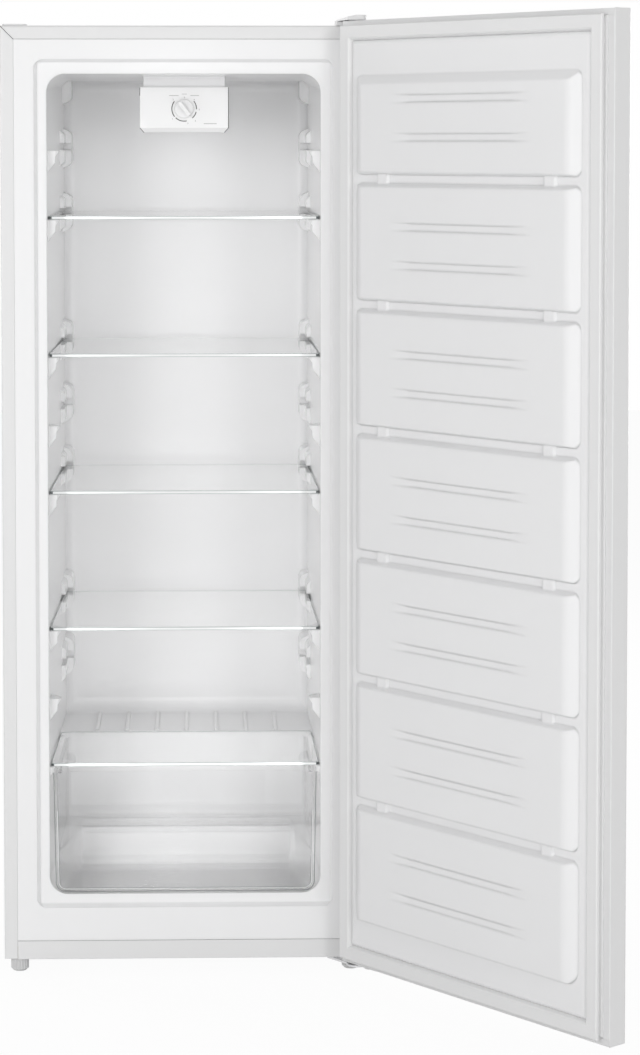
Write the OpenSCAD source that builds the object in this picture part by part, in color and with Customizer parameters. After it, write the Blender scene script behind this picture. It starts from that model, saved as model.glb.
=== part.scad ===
// Upright single-door refrigerator with glass shelves, a stepped crisper and a plain swing door.
// Millimetres. +Z is up and the front faces -Y. The origin is on the floor under the middle of the open part.
// Most modules are drawn in the front frame, where y = 0 is the front plane of the case.

/* [Cabinet] */
// Width of the steel case
case_w = 545; // [535:1:560]
// Depth of the steel case without the door
case_d = 510; // [505:1:530]
// Height of the steel case without the feet
case_h = 1402; // [1396:1:1420]
// Clearance between the floor and the case
foot_h = 24; // [22:1:28]
// Width of the steel return round the front of the case
flange_w = 20; // [18:1:22]
// Height of the steel rail under the liner
rail_h = 27; // [25:1:30]

/* [Liner] */
// Width of the opening into the food space
open_w = 409; // [404:1:412]
// Distance from the case top down to the opening
top_wall = 71; // [68:1:74]
// Distance from the case bottom up to the opening
bottom_wall = 95; // [92:1:97]
// Depth of the food space behind the front plane
cavity_d = 440; // [435:1:444]
// Corner radius of the opening
corner_r = 28; // [20:1:30]
// Width of the sunk band round the opening
rebate_w = 18.5; // [17:0.5:20]
// Width of the sunk band above the opening
rebate_top = 21.5; // [19:0.5:22]
// Depth of the sunk band
rebate_d = 12; // [12:0.5:14]

/* [Shelves] */
// Height of the lowest support level above the case bottom
first_level = 288; // [286:1:290]
// Height from one support level to the next
level_pitch = 103.5; // [101:0.5:104]
// Thickness of the glass
glass_t = 5; // [4:0.5:5]
// Distance of the glass from the front plane
shelf_inset = 30; // [28:1:34]
// Depth of a full glass shelf
shelf_d = 352; // [350:1:354]

/* [Crisper] */
// Height of the ledge above the food space floor
ledge_h = 59; // [56:0.5:66]
// Distance of the ledge from the front plane
ledge_y = 190; // [186:1:194]
// Distance of the hump from the front plane
hump_y = 265; // [263:1:268]
// Wall thickness of the clear drawer
drawer_t = 2.5; // [2:0.5:3]

/* [Thermostat] */
// Width of the thermostat housing
housing_w = 135; // [125:1:145]
// Height of the housing front cover
housing_h = 69; // [66:1:72]
// Diameter of the knob
knob_d = 29; // [26:1:32]

/* [Door] */
// Angle by which the door stands open
door_angle = 129; // [0:1:131]
// Thickness of the door slab
door_t = 35; // [34:1:38]
// Gap between the case and the door slab, filled by the gasket
door_gap = 16; // [16:0.5:17]
// Height of the raised plateau of the door liner
plateau_h = 13; // [12:0.5:13]
// Height of the panels of the door liner
panel_h = 26; // [25:0.5:26]
// Number of raised panels on the door liner
panel_count = 7; // [5:1:8]
// Clear height of the channels between the panels
channel_h = 20.5; // [18:0.5:24]
// Diameter of the hinge pins
pin_d = 8; // [7:0.5:9]

/* [Hidden] */
$fn = 48;

// Colours as the photo shows them
steel_white = [0.94, 0.94, 0.94];
liner_white = [0.92, 0.92, 0.93];
clear_tint = [0.80, 0.90, 0.90, 0.45];
foam_cream = [0.93, 0.88, 0.70];
zinc = [0.72, 0.73, 0.75];
rubber_grey = [0.88, 0.88, 0.88];
black_paint = [0.10, 0.10, 0.11];
copper = [0.80, 0.50, 0.35];

// Sheet, liner and skin thicknesses
sheet_t = 1.2;
liner_t = 2;
skin_t = 0.8;
fit = 0.4;

// Heights in the model's frame
case_z = foot_h;
case_top = case_z + case_h;
open_low = case_z + bottom_wall;
open_high = case_top - top_wall;
ledge_z = open_low + ledge_h;
level_z0 = case_z + first_level;
hump_z = level_z0 + 0.5;
function level_z(k) = level_z0 + k * level_pitch;

// The top shelf takes the highest level that leaves this headroom under the thermostat housing
shelf_headroom = 60;
housing_low = open_high - 18 - housing_h;
top_level = floor((housing_low - shelf_headroom - level_z0) / level_pitch);
shelf_levels = [for (i = [0 : 3]) top_level - 2 * i];
support_levels = [for (k = [1, 0, -2, -3, -4, -6, -7]) if (top_level + k > 0) top_level + k];

// Compressor compartment at the lower back
bay_y = hump_y + 51;
bay_z = hump_z - 62;
tray_z = case_z + 2;
tray_t = 2;
tray_y0 = bay_y + 14;
tray_y1 = case_d - 8;
tube_room = 20;
comp_x = -70;
comp_y = (tray_y0 + tray_y1) / 2;
comp_r = comp_y - tray_y0 - tube_room;
comp_z = tray_z + tray_t + 9;
belt_w = 3;

// Condenser tubes on the side walls and evaporator behind the liner
tube_r = 2.4;
coil_runs = 6;
coil_pitch = 52;
coil_y = 90;
coil_low = level_z0 + 60;
coil_high = case_top - 132;
evap_w = 320;
evap_t = 0.8;
evap_r = 3;
evap_pitch = 50;
evap_low = level_z0 + 64;
evap_high = case_top - 156;

// Liner walls, drafted towards the back
back_w = open_w - 12;
back_r = 16;
slope_w = 4.5;
rebate_r = 16;
function wall_x(y) = open_w / 2 - (open_w - back_w) / 2 * y / cavity_d;

// Door block in the front frame, closed
door_in = -door_gap;
door_out = -door_gap - door_t;
door_z = case_z + 2;
door_h = case_h + 4;
cap_h = 9;
hem_w = 12;
pin_x = case_w / 2 - 15.5;
pin_y = -door_gap - 15.5;
pin_r = pin_d / 2;
bush_r = pin_r + 3;
bush_l = 22;
pin_clear = 0.06;
pad_t = 2.4;
lug_h = 4.1;

// Outer radius of the door skin's long edges
skin_r = 7;

// Gasket, with a lip that reaches towards the plateau of the door liner
gasket_side = 10.5;
gasket_low = 10;
gasket_high = 8;
gasket_band = 20;
gasket_h = door_gap - 0.5;
gasket_round = 1.4;
lip_round = 2;
lip_w = 2.5;
lip_low = 7;

// Door liner
rim = gasket_band + lip_w + 0.5;
plateau_x = case_w / 2 - gasket_side - rim;
plateau_low = door_z + gasket_low + rim;
plateau_high = door_z + door_h - gasket_high - rim;
plateau_r = 7;
flat_inset = 62.5;
slope_run = 16;
panel_r = 14;
lowest_r = 22;
top_slope = 14;
edge_slope = 5;
groove_w = 13;
groove_depth = 1;
groove_half = 145;
groove_fade = 45;
panel_low = door_z + 80;
panel_high = door_z + door_h - 95;
top_panel_cut = 35.4;
panel_pitch = (panel_high - panel_low + top_panel_cut + channel_h) / panel_count;

// Middle of the whole part with its door at rest, measured in the front frame
bead_h = 2;
door_far_x = pin_x - (case_w / 2 + pin_x - skin_r) * cos(door_angle)
  - (door_out + skin_r - pin_y) * sin(door_angle) + skin_r;
door_far_y = pin_y - (case_w / 2 - gasket_side + pin_x) * sin(door_angle)
  + (door_in + gasket_h - gasket_round - pin_y) * cos(door_angle);
middle_x = (door_far_x - case_w / 2) / 2;
middle_y = (door_far_y + case_d + bead_h) / 2;

// Screws and studs
screw_r = 2.2;
stud_r = 4;
foot_r = 13.5;
foot_x = case_w / 2 - 21.5;
foot_y = 28;
hinge_plate_t = 3;

// Moves the front frame to the model's frame
module at_front() {
  translate([-middle_x, -middle_y, 0]) children();
}

// Swings the closed door to its rest angle about the hinge pins
module on_door() {
  at_front()
    translate([pin_x, pin_y, 0]) rotate([0, 0, door_angle]) translate([-pin_x, -pin_y, 0])
      children();
}

// Extrudes a profile of (y, z) along X, centred
module along_x(len) {
  rotate([90, 0, 90]) linear_extrude(len, center = true) children();
}

// Extrudes a profile of (x, z) along Y, from y0 to y1
module along_y(y0, y1) {
  translate([0, y1, 0]) rotate([90, 0, 0]) linear_extrude(y1 - y0) children();
}

// Extrudes a profile of (x, y) along Z, from z0 to z1
module along_z(z0, z1) {
  translate([0, 0, z0]) linear_extrude(z1 - z0) children();
}

// Copies a shape to both sides
module both_sides() {
  children();
  mirror([1, 0, 0]) children();
}

// Unit vector
function unit(v) = v / norm(v);

// Points of an arc of radius r that rounds the corner b between a and c
function corner_arc(a, b, c, r, n) =
  let (u = unit(a - b), v = unit(c - b), half = acos(u * v) / 2,
       mid = b + unit(u + v) * r / sin(half),
       s = b + u * r / tan(half) - mid, e = b + v * r / tan(half) - mid,
       a0 = atan2(s[1], s[0]), turn = atan2(e[1], e[0]) - a0,
       sweep = turn > 180 ? turn - 360 : turn < -180 ? turn + 360 : turn)
  [for (i = [0 : n]) mid + r * [cos(a0 + sweep * i / n), sin(a0 + sweep * i / n)]];

// Outline whose corner i is rounded by radii[i]
function rounded(pts, radii, n = 6) =
  [for (i = [0 : len(pts) - 1])
    let (m = len(pts), a = pts[(i + m - 1) % m], c = pts[(i + 1) % m])
      each (radii[i] > 0 ? corner_arc(a, pts[i], c, radii[i], n) : [pts[i]])];

// Rounded rectangle from two corners
function rounded_box(x0, z0, x1, z1, r, n = 8) =
  rounded([[x0, z0], [x1, z0], [x1, z1], [x0, z1]], [r, r, r, r], n);

// Sides of the food space seen from above, grown by g
function cavity_plan(g) = rounded([
    [-open_w / 2 - g, 0], [open_w / 2 + g, 0],
    [back_w / 2 + g, cavity_d + g], [-back_w / 2 - g, cavity_d + g]
  ], [0, 0, back_r + g, back_r + g]);

// Floor, ledge, hump, back and ceiling of the food space seen from the side, grown by g
function cavity_side(g) = rounded([
    [0, open_low - g], [ledge_y + g, open_low - g], [ledge_y + 4 + g, ledge_z - g],
    [hump_y + g, ledge_z - g], [hump_y + 4 + g, hump_z - g], [cavity_d + g, hump_z - g],
    [cavity_d + g, open_high - 4 + g], [0, open_high + g]
  ], [0, 9, 5, 9, 5, 22, back_r, 0]);

// The food space as one solid, grown by g
module cavity_form(g) {
  intersection() {
    along_z(open_low - 20, open_high + 20) polygon(cavity_plan(g));
    along_x(open_w + 40) polygon(cavity_side(g));
    along_y(0, cavity_d + 20)
      polygon(rounded_box(-open_w / 2 - g, open_low - g, open_w / 2 + g, open_high + g, corner_r + g));
  }
}

// The sunk band in front of the food space, with sloped edges, grown by g
module rebate_form(g) {
  half = open_w / 2 + rebate_w + g;
  low = open_low - rebate_w - g;
  high = open_high + rebate_top + g;
  end = rebate_d + g;
  intersection() {
    along_z(low - 1, high + 1) polygon([
      [-half, 0], [half, 0], [half - slope_w, end], [-half + slope_w, end]]);
    along_x(2 * half + 2) polygon([[0, low], [0, high], [end, high - slope_w], [end, low + slope_w]]);
    along_y(0, end) polygon(rounded_box(-half, low, half, high, rebate_r + g));
  }
}

// Flat front of the liner, tucked behind the steel return
module liner_flange() {
  translate([-case_w / 2 + 9, sheet_t, case_z + 18])
    cube([case_w - 18, liner_t, case_h - 27]);
}

// Ledge near the front of a side wall, deep at the wall and narrow at its tip, with its flat top at z
module front_lug(y, z, reach, drop, depth) {
  wall = wall_x(y);
  intersection() {
    along_y(y, y + depth) polygon([
      [wall + 3, z - 1.8 * drop - 3], [wall, z - 1.8 * drop], [wall - 0.68 * reach, z - drop],
      [wall - 0.72 * reach, z - drop / 2], [wall - reach, z - 2], [wall - reach, z], [wall + 3, z]]);
    along_z(z - 2 * drop - 4, z + 1) polygon([
      [wall + 3, y], [wall - reach + 4, y], [wall - reach, y + 5], [wall - reach, y + 0.45 * depth],
      [wall + 3, y + depth]]);
  }
}

// Pad in a back corner, with a slot that takes the rear corner of the glass
module back_pad(k) {
  y0 = shelf_inset + shelf_d - 4;
  low = level_z(k) - glass_t / 2 - fit;
  difference() {
    union() {
      along_y(y0, cavity_d + 1)
        polygon(rounded([[back_w / 2 - 14, level_z(k) - 26], [open_w / 2, level_z(k) - 34],
          [open_w / 2, level_z(k) + 34], [back_w / 2 - 14, level_z(k) + 26]], [12, 0, 0, 12]));
      along_y(y0 - 70, y0 + 1)
        polygon(rounded([[back_w / 2 - 5, level_z(k) - 22], [open_w / 2, level_z(k) - 32],
          [open_w / 2, level_z(k) + 32], [back_w / 2 - 5, level_z(k) + 22]], [8, 0, 0, 8]));
    }
    translate([0, y0 - 80, low]) cube([open_w, 94, glass_t + 6]);
  }
}

// Everything that holds the glass, on the right side
module level_supports() {
  for (k = support_levels) {
    front_lug(shelf_inset + 2, level_z(k) - glass_t / 2 - fit, 16, 18, 42);
    back_pad(k);
  }
  along_y(shelf_inset + shelf_d - 4, cavity_d + 1)
    polygon(rounded([[back_w / 2 - 14, open_high - 34], [open_w / 2, open_high - 42],
      [open_w / 2, open_high + 9], [back_w / 2 - 14, open_high + 9]], [12, 0, 0, 0]));
  for (y = [shelf_inset + 2, hump_y - 34])
    front_lug(y, level_z0 - glass_t / 2 - fit, 7, 8, 24);
}

// The steel wrap with its front return, mitred at the top corners
module outer_case() {
  r = 3;
  color(steel_white) at_front()
    difference() {
      intersection() {
        along_z(case_z, case_top) polygon(rounded([
          [-case_w / 2, 0], [case_w / 2, 0], [case_w / 2, case_d], [-case_w / 2, case_d]], [r, r, 0, 0], 4));
        along_x(case_w + 2) polygon(rounded([
          [0, case_z], [case_d, case_z], [case_d, case_top], [0, case_top]], [0, 0, 0, r], 4));
      }
      translate([-case_w / 2 + sheet_t, sheet_t, case_z - 1])
        cube([case_w - 2 * sheet_t, case_d, case_h - sheet_t + 1]);
      translate([-case_w / 2 + flange_w, -1, case_z - 1])
        cube([case_w - 2 * flange_w, sheet_t + 2, case_h - flange_w + 1]);
      both_sides() mitre_slit();
      at_hinge_holes() cylinder(h = 2 * sheet_t + 2, r = screw_r, center = true);
    }
}

// Fine joint line at 45 degrees where the side and top returns meet
module mitre_slit() {
  translate([case_w / 2, 0, case_top]) rotate([0, 45, 0])
    translate([-0.3, -0.4, -flange_w * 1.42 + 0.5]) cube([0.6, 1, flange_w * 1.42 - 2]);
}

// Flat back sheet with two pressed stiffening beads
module back_panel() {
  low = bay_z + 2;
  high = case_top - sheet_t;
  color(zinc) at_front()
    difference() {
      union() {
        translate([-case_w / 2 + sheet_t, case_d - sheet_t, low])
          cube([case_w - 2 * sheet_t, sheet_t, high - low]);
        for (x = [-1, 1] * case_w / 5)
          along_y(case_d - sheet_t, case_d + bead_h)
            polygon(rounded_box(x - 9, low + 90, x + 9, high - 90, 8.9));
      }
      for (x = [-1, 1] * case_w / 5)
        along_y(case_d - sheet_t - 1, case_d + bead_h - sheet_t)
          polygon(rounded_box(x - 7.8, low + 91.2, x + 7.8, high - 91.2, 7.7));
      at_back_screws() cylinder(h = 20, r = screw_r, center = true);
    }
}

// Places of the screws that hold the back sheet, with Z pointing out of the back
module at_back_screws() {
  for (x = [-1, 0, 1] * (case_w / 2 - 14), z = [bay_z + 14, case_top - 14])
    translate([x, case_d, z]) rotate([-90, 0, 0]) children();
  for (x = [-1, 1] * (case_w / 2 - 14), z = [0.36, 0.68] * case_top)
    translate([x, case_d, z]) rotate([-90, 0, 0]) children();
}

module back_panel_screws() {
  color(zinc) at_front()
    at_back_screws() {
      cylinder(h = 2, r1 = 4, r2 = 3);
      translate([0, 0, -8]) cylinder(h = 8, r = screw_r);
    }
}

// Folded sheet: floor of the foam, front wall and ceiling of the compressor bay
module base_pan() {
  t = sheet_t;
  end = case_d - t;
  color(zinc) at_front()
    difference() {
      along_x(case_w - 2 * t)
        polygon([[t, case_z], [bay_y, case_z], [bay_y, bay_z], [end, bay_z],
          [end, bay_z + t], [bay_y - t, bay_z + t], [bay_y - t, case_z + t], [t, case_z + t]]);
      for (x = [-1, 1] * foot_x)
        translate([x, foot_y, case_z]) cylinder(h = 10, r = stud_r + 0.1, center = true);
      at_bottom_screws() cylinder(h = 10, r = screw_r, center = true);
    }
}

// Steel rail across the front below the liner, with a folded lower edge
module front_rail() {
  gap = 0.3;
  color(steel_white) at_front() {
    translate([-case_w / 2 + flange_w + gap, gap, case_z])
      cube([case_w - 2 * flange_w - 2 * gap, sheet_t - gap, rail_h]);
    translate([-case_w / 2 + flange_w + gap, gap, case_z - 1])
      cube([case_w - 2 * flange_w - 2 * gap, 12, 1]);
  }
}

// Rigid foam between the case and the liner
module foam_insulation() {
  t = sheet_t;
  color(foam_cream) at_front()
    difference() {
      translate([-case_w / 2 + t, t, case_z + t]) cube([case_w - 2 * t, case_d - 2 * t, case_h - 2 * t]);
      liner_flange();
      rebate_form(liner_t);
      cavity_form(liner_t);
      translate([-case_w, bay_y - t, case_z]) cube([2 * case_w, case_d, bay_z + t - case_z]);
      both_sides() condenser_pocket();
      evaporator_pocket();
      for (x = [-1, 1] * foot_x)
        translate([x, foot_y, case_z]) cylinder(h = 50, r = stud_r + 1);
      at_back_screws() translate([0, 0, -8]) cylinder(h = 8, r = screw_r);
      at_hinge_holes() translate([0, 0, -14]) cylinder(h = 14, r = screw_r);
      at_bottom_screws() cylinder(h = 14, r = screw_r);
    }
}

// Moulded liner with its sunk band, stepped hump, hump ribs and shelf supports
module inner_liner() {
  color(liner_white) at_front()
    difference() {
      union() {
        liner_flange();
        intersection() {
          union() {
            rebate_form(liner_t);
            cavity_form(liner_t);
          }
          translate([-case_w, sheet_t, 0]) cube([2 * case_w, case_d, 2 * case_h]);
        }
      }
      rebate_form(0);
      difference() {
        cavity_form(0);
        both_sides() level_supports();
        hump_ribs();
      }
    }
}

// Low ribs from front to back on top of the hump
module hump_ribs() {
  for (i = [-3 : 3])
    translate([i * open_w / 8.6 - 3, hump_y + 14, hump_z - 1]) cube([6, cavity_d - hump_y - 34, 3.5]);
}

// Shallow space in the foam for the condenser tube on the right side
module condenser_pocket() {
  translate([case_w / 2 - sheet_t - 6, coil_y - 30, coil_low - 40])
    cube([6 + sheet_t, coil_runs * coil_pitch + 28, coil_high - coil_low + 80]);
}

// One serpentine of tube in the YZ plane, with runs along Z
module serpentine(runs, pitch, len, r) {
  for (i = [0 : runs - 1])
    translate([0, i * pitch, 0]) cylinder(h = len, r = r);
  for (i = [0 : runs - 2])
    translate([0, (i + 0.5) * pitch, i % 2 == 0 ? len : 0])
      rotate([90, 0, 90]) rotate([0, 0, i % 2 == 0 ? 0 : 180])
        rotate_extrude(angle = 180) translate([pitch / 2, 0]) circle(r = r);
}

// Condenser tube held against the inside of both side walls
module condenser_coil() {
  color(copper) at_front() both_sides()
    translate([case_w / 2 - sheet_t - tube_r - 0.2, coil_y, coil_low])
      serpentine(coil_runs, coil_pitch, coil_high - coil_low, tube_r);
}

// Shallow space in the foam for the evaporator behind the liner
module evaporator_pocket() {
  translate([-evap_w / 2 - 5, cavity_d + liner_t - 1, evap_low - 4])
    cube([evap_w + 10, 9, evap_high - evap_low + 8]);
}

module evaporator_plate() {
  color(zinc) at_front()
    translate([-evap_w / 2, cavity_d + liner_t, evap_low]) cube([evap_w, evap_t, evap_high - evap_low]);
}

// Evaporator tube bonded to its plate behind the liner
module evaporator_coil() {
  color(zinc) at_front()
    translate([-2.5 * evap_pitch, cavity_d + liner_t + evap_t + evap_r, evap_low + 46])
      rotate([0, 0, -90]) serpentine(6, evap_pitch, evap_high - evap_low - 92, evap_r);
}

// Pressed cross plate that carries the compressor and the back feet
module compressor_tray() {
  y0 = tray_y0;
  y1 = tray_y1;
  color(zinc) at_front()
    difference() {
      along_x(case_w - 2 * sheet_t)
        polygon([[y0, tray_z + 16], [y0, tray_z], [y1, tray_z], [y1, tray_z + 16],
          [y1 - tray_t, tray_z + 16], [y1 - tray_t, tray_z + tray_t], [y0 + tray_t, tray_z + tray_t],
          [y0 + tray_t, tray_z + 16]]);
      at_grommets() cylinder(h = 3 * tray_t, r = 6, center = true);
      translate([case_w / 2 - 70, y1, tray_z + 9]) rotate([90, 0, 0]) cylinder(h = 10, r = 5, center = true);
      at_rear_feet() cylinder(h = 3 * tray_t, r = stud_r, center = true);
    }
}

// Places of the compressor's four mounting points
module at_grommets() {
  for (x = [-70, 70], y = [-42, 42])
    translate([comp_x + x, comp_y + y, tray_z + tray_t]) children();
}

// Hermetic shell: drawn can, welded belt, domed lid and foot plate
module compressor() {
  color(black_paint) at_front()
    difference() {
      union() {
        translate([comp_x, comp_y, comp_z])
          rotate_extrude() polygon(rounded([
            [0, 6], [comp_r - 16, 6], [comp_r, 24], [comp_r, 78], [comp_r + belt_w, 80], [comp_r + belt_w, 90],
            [comp_r - 1, 92], [comp_r - 3, 120], [comp_r - 26, 146], [0, 150]],
            [0, 6, 12, 0, 0, 0, 0, 18, 20, 0], 5));
        translate([comp_x, comp_y, comp_z])
          along_z(0, 3) polygon(rounded_box(-84, -55, 84, 55, 12));
        for (x = [-46, 46])
          translate([comp_x + x - 5, comp_y - 46, comp_z + 2]) cube([10, 92, 14]);
        translate([comp_x, comp_y, comp_z]) {
          translate([50, -30, 50]) rotate([0, 90, -30]) cylinder(h = 34, r = 4);
          translate([50, 30, 60]) rotate([0, 90, 30]) cylinder(h = 34, r = 5);
        }
      }
      at_grommets() cylinder(h = 60, r = 5.5, center = true);
    }
}

module compressor_grommets() {
  color(black_paint) at_front()
    at_grommets()
      difference() {
        union() {
          cylinder(h = 9, r = 10);
          translate([0, 0, -tray_t]) cylinder(h = tray_t, r = 6);
        }
        translate([0, 0, -tray_t - 1]) cylinder(h = 12 + tray_t, r = 4);
      }
}

module compressor_bolts() {
  color(zinc) at_front()
    at_grommets() {
      translate([0, 0, -tray_t]) cylinder(h = 16 + tray_t, r = 4);
      translate([0, 0, 12]) cylinder(h = 2, r = 9);
      translate([0, 0, 14]) cylinder(h = 5, r = 6.5, $fn = 6);
    }
}

// Plastic box over the starter relay and the terminals
module starter_cover() {
  color([0.2, 0.2, 0.21]) at_front()
    translate([comp_x + comp_r + belt_w + 0.3, comp_y - 26, tray_z + 60])
      along_z(0, 58) polygon(rounded([[0, 0], [38, 4], [38, 48], [0, 52]], [0, 8, 8, 0]));
}

// Drier under the bay ceiling, with the thin tube that leaves its lower end
module filter_drier() {
  x = case_w / 2 - 110;
  y = bay_y + 34;
  z = bay_z - 150;
  color(copper) at_front() {
    translate([x, y, z]) {
      cylinder(h = 90, r = 9);
      translate([0, 0, 90]) cylinder(h = 12, r1 = 9, r2 = 3);
      translate([0, 0, -12]) cylinder(h = 12, r1 = 3, r2 = 9);
      translate([0, 0, 100]) cylinder(h = 50, r = 2.4);
    }
    tube_run([[x, y, z - 10], [x, y, z - 28], [x + 28, y, z - 28], [x + 28, y, bay_z]], 1.6, 8);
  }
}

// Tube along points joined by square turns of radius bend
module tube_run(pts, r, bend) {
  last = len(pts) - 1;
  for (i = [0 : last - 1]) {
    d = unit(pts[i + 1] - pts[i]);
    from = pts[i] + (i > 0 ? bend : 0) * d;
    to = pts[i + 1] - (i < last - 1 ? bend : 0) * d;
    rod(from, to, r);
  }
  for (i = [1 : last - 1]) {
    u = unit(pts[i] - pts[i - 1]);
    v = unit(pts[i + 1] - pts[i]);
    w = cross(v, -u);
    o = pts[i] - bend * u + bend * v;
    multmatrix([
      [-v[0], u[0], -cross(v, u)[0], o[0]], [-v[1], u[1], -cross(v, u)[1], o[1]],
      [-v[2], u[2], -cross(v, u)[2], o[2]], [0, 0, 0, 1]])
      rotate_extrude(angle = 90) translate([bend, 0]) circle(r = r);
  }
}

// Straight rod between two points on a line along one axis
module rod(a, b, r) {
  d = b - a;
  translate(a)
    rotate(abs(d[2]) > 0.001 ? [d[2] > 0 ? 0 : 180, 0, 0] : [90, 0, atan2(d[1], d[0]) + 90])
      cylinder(h = norm(d), r = r);
}

// Hot gas tube from the compressor to the condenser
module discharge_tube() {
  color(copper) at_front()
    tube_run([[comp_x, comp_y - comp_r - 0.1, comp_z + 70], [comp_x, comp_y - comp_r - 18, comp_z + 70],
      [comp_x, comp_y - comp_r - 18, bay_z - 30], [comp_x + 150, comp_y - comp_r - 18, bay_z - 30],
      [comp_x + 150, comp_y - comp_r - 18, bay_z]], 2.4, 10);
}

// Return tube from the evaporator to the compressor
module suction_tube() {
  color(copper) at_front()
    tube_run([[comp_x, comp_y + comp_r + 0.1, comp_z + 62], [comp_x, comp_y + comp_r + 20, comp_z + 62],
      [comp_x, comp_y + comp_r + 20, bay_z - 24], [comp_x - 100, comp_y + comp_r + 20, bay_z - 24],
      [comp_x - 100, comp_y + comp_r + 20, bay_z]], 4, 12);
}

// Bush in the back lip of the tray where the supply cord enters
module cord_inlet() {
  color(black_paint) at_front()
    translate([case_w / 2 - 70, tray_y1, tray_z + 9]) rotate([90, 0, 0])
      difference() {
        union() {
          translate([0, 0, -4]) cylinder(h = 4, r = 7);
          cylinder(h = tray_t, r = 5);
          translate([0, 0, tray_t]) cylinder(h = 6, r = 6.5);
        }
        translate([0, 0, -5]) cylinder(h = 20, r = 3.6);
      }
}

// Places of the two fixed back feet under the tray
module at_rear_feet() {
  for (x = [-1, 1] * (case_w / 2 - 40))
    translate([x, case_d - 50, tray_z]) children();
}

module rear_feet() {
  color(rubber_grey) at_front()
    at_rear_feet() {
      translate([0, 0, -tray_z]) cylinder(h = 3, r1 = 12, r2 = 14);
      translate([0, 0, 3 - tray_z]) cylinder(h = tray_z - 3, r = 14);
      cylinder(h = tray_t + 3, r = stud_r);
      translate([0, 0, tray_t]) cylinder(h = 3, r = 7, $fn = 6);
    }
}

// Screw foot with a fluted skirt; top is the height where the skirt ends
module screw_foot(top) {
  flutes = 20;
  ripple = [for (i = [0 : 119]) (foot_r - 0.5 + 0.5 * cos(i * 3 * flutes)) * [cos(i * 3), sin(i * 3)]];
  translate([0, 0, 0]) cylinder(h = 3, r1 = foot_r - 3.5, r2 = foot_r - 1);
  along_z(3, top) polygon(ripple);
  translate([0, 0, top]) cylinder(h = case_z + 40 - top, r = stud_r);
}

module front_foot_left() {
  color(rubber_grey) at_front() translate([-foot_x, foot_y, 0]) screw_foot(case_z - 1.5);
}

module front_foot_right() {
  color(rubber_grey) at_front() translate([foot_x, foot_y, 0]) screw_foot(case_z - hinge_plate_t - 1.5);
}

// Thermostat housing hung from the ceiling
housing_y = 110;
housing_d = 120;
housing_t = 2;
knob_z = housing_low + 36;
shaft_r = 3;
shaft_out = 8;
// Outer shape of the cover, drawn in by t and carried up by rise
module housing_form(t, rise) {
  w = housing_w / 2 - t;
  low = housing_low + t;
  high = housing_low + housing_h + rise;
  y0 = housing_y + t;
  y1 = housing_y + housing_d - t;
  intersection() {
    along_y(y0, y1)
      polygon([[-w + 6, low], [w - 6, low], [w, low + 7], [w, high], [-w, high], [-w, low + 7]]);
    along_x(2 * w) polygon([[y0 + 7, low], [y1, low], [y1, high], [y0, high], [y0, low + 7]]);
  }
}

module thermostat_housing() {
  color(liner_white) at_front()
    difference() {
      housing_form(0, 0);
      housing_form(housing_t, 1);
      translate([0, housing_y, knob_z]) rotate([90, 0, 0])
        cylinder(h = 4 * housing_t, r = shaft_r + 1, center = true);
    }
}

// Base that hangs from the ceiling, with a skirt inside the cover
module housing_base() {
  w = housing_w / 2 - 5.5;
  tuck = housing_t + 0.3;
  low = housing_low + housing_h;
  end = housing_y + housing_d - tuck;
  color([0.88, 0.88, 0.92]) at_front()
    difference() {
      union() {
        along_x(2 * w)
          polygon([[housing_y + 4, low - 1], [end, low - 1], [end, ceiling_z(end)],
            [housing_y + 4, ceiling_z(housing_y + 4)]]);
        translate([-housing_w / 2 + tuck, housing_y + tuck, low - 8])
          cube([housing_w - 2 * tuck, housing_d - 2 * tuck, 8]);
      }
      translate([-w + 3, housing_y + 7, low - 9]) cube([2 * w - 6, housing_d - 14, 21]);
    }
}

// Height of the ceiling at a distance from the front plane
function ceiling_z(y) = open_high - 4 * y / cavity_d;

// Switch body fixed behind the front of the cover
module thermostat_body() {
  y0 = housing_y + housing_t;
  color(zinc) at_front()
    difference() {
      translate([-22, y0, knob_z - 16]) cube([44, 34, 32]);
      translate([0, y0 - 1, knob_z]) rotate([-90, 0, 0]) cylinder(h = 25, r = shaft_r + pin_clear);
    }
}

module thermostat_shaft() {
  color(zinc) at_front()
    translate([0, housing_y - shaft_out, knob_z]) rotate([-90, 0, 0])
      cylinder(h = shaft_out + housing_t + 23, r = shaft_r);
}

// Turning knob with a slanted grip bar
module thermostat_knob() {
  r = knob_d / 2;
  color(liner_white) at_front()
    translate([0, housing_y - fit, knob_z]) rotate([90, 0, 0])
      difference() {
        union() {
          cylinder(h = 3, r = r);
          translate([0, 0, 3]) cylinder(h = 1.2, r1 = r, r2 = r - 1.2);
          rotate([0, 0, -52]) along_z(3, 14) polygon(rounded_box(-r + 1.5, -3, r - 1.5, 3, 2.5));
        }
        translate([0, 0, -1]) cylinder(h = 1 + shaft_out - fit, r = shaft_r);
      }
}

// Plain glass plate between two distances from the front, with rounded corners
module glass_plate(k, y0, y1, back_gap) {
  front = wall_x(y0) - 1.2;
  back = wall_x(y1) - back_gap;
  color(clear_tint) at_front()
    along_z(level_z(k) - glass_t / 2, level_z(k) + glass_t / 2)
      polygon(rounded([[-front, y0], [front, y0], [back, y1], [-back, y1]], [6, 6, 5, 5]));
}

module full_shelf(i) {
  glass_plate(shelf_levels[i - 1], shelf_inset, shelf_inset + shelf_d, 1.8);
}

module glass_shelf_1() {
  full_shelf(1);
}

module glass_shelf_2() {
  full_shelf(2);
}

module glass_shelf_3() {
  full_shelf(3);
}

module glass_shelf_4() {
  full_shelf(4);
}

module crisper_cover() {
  glass_plate(0, shelf_inset, hump_y - 3, 1.2);
}

// Clear drawer with a raised floor over the ledge and a wider front plate
drawer_y0 = 17;
drawer_y1 = hump_y - 8;
deep_taper = 30;

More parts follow.
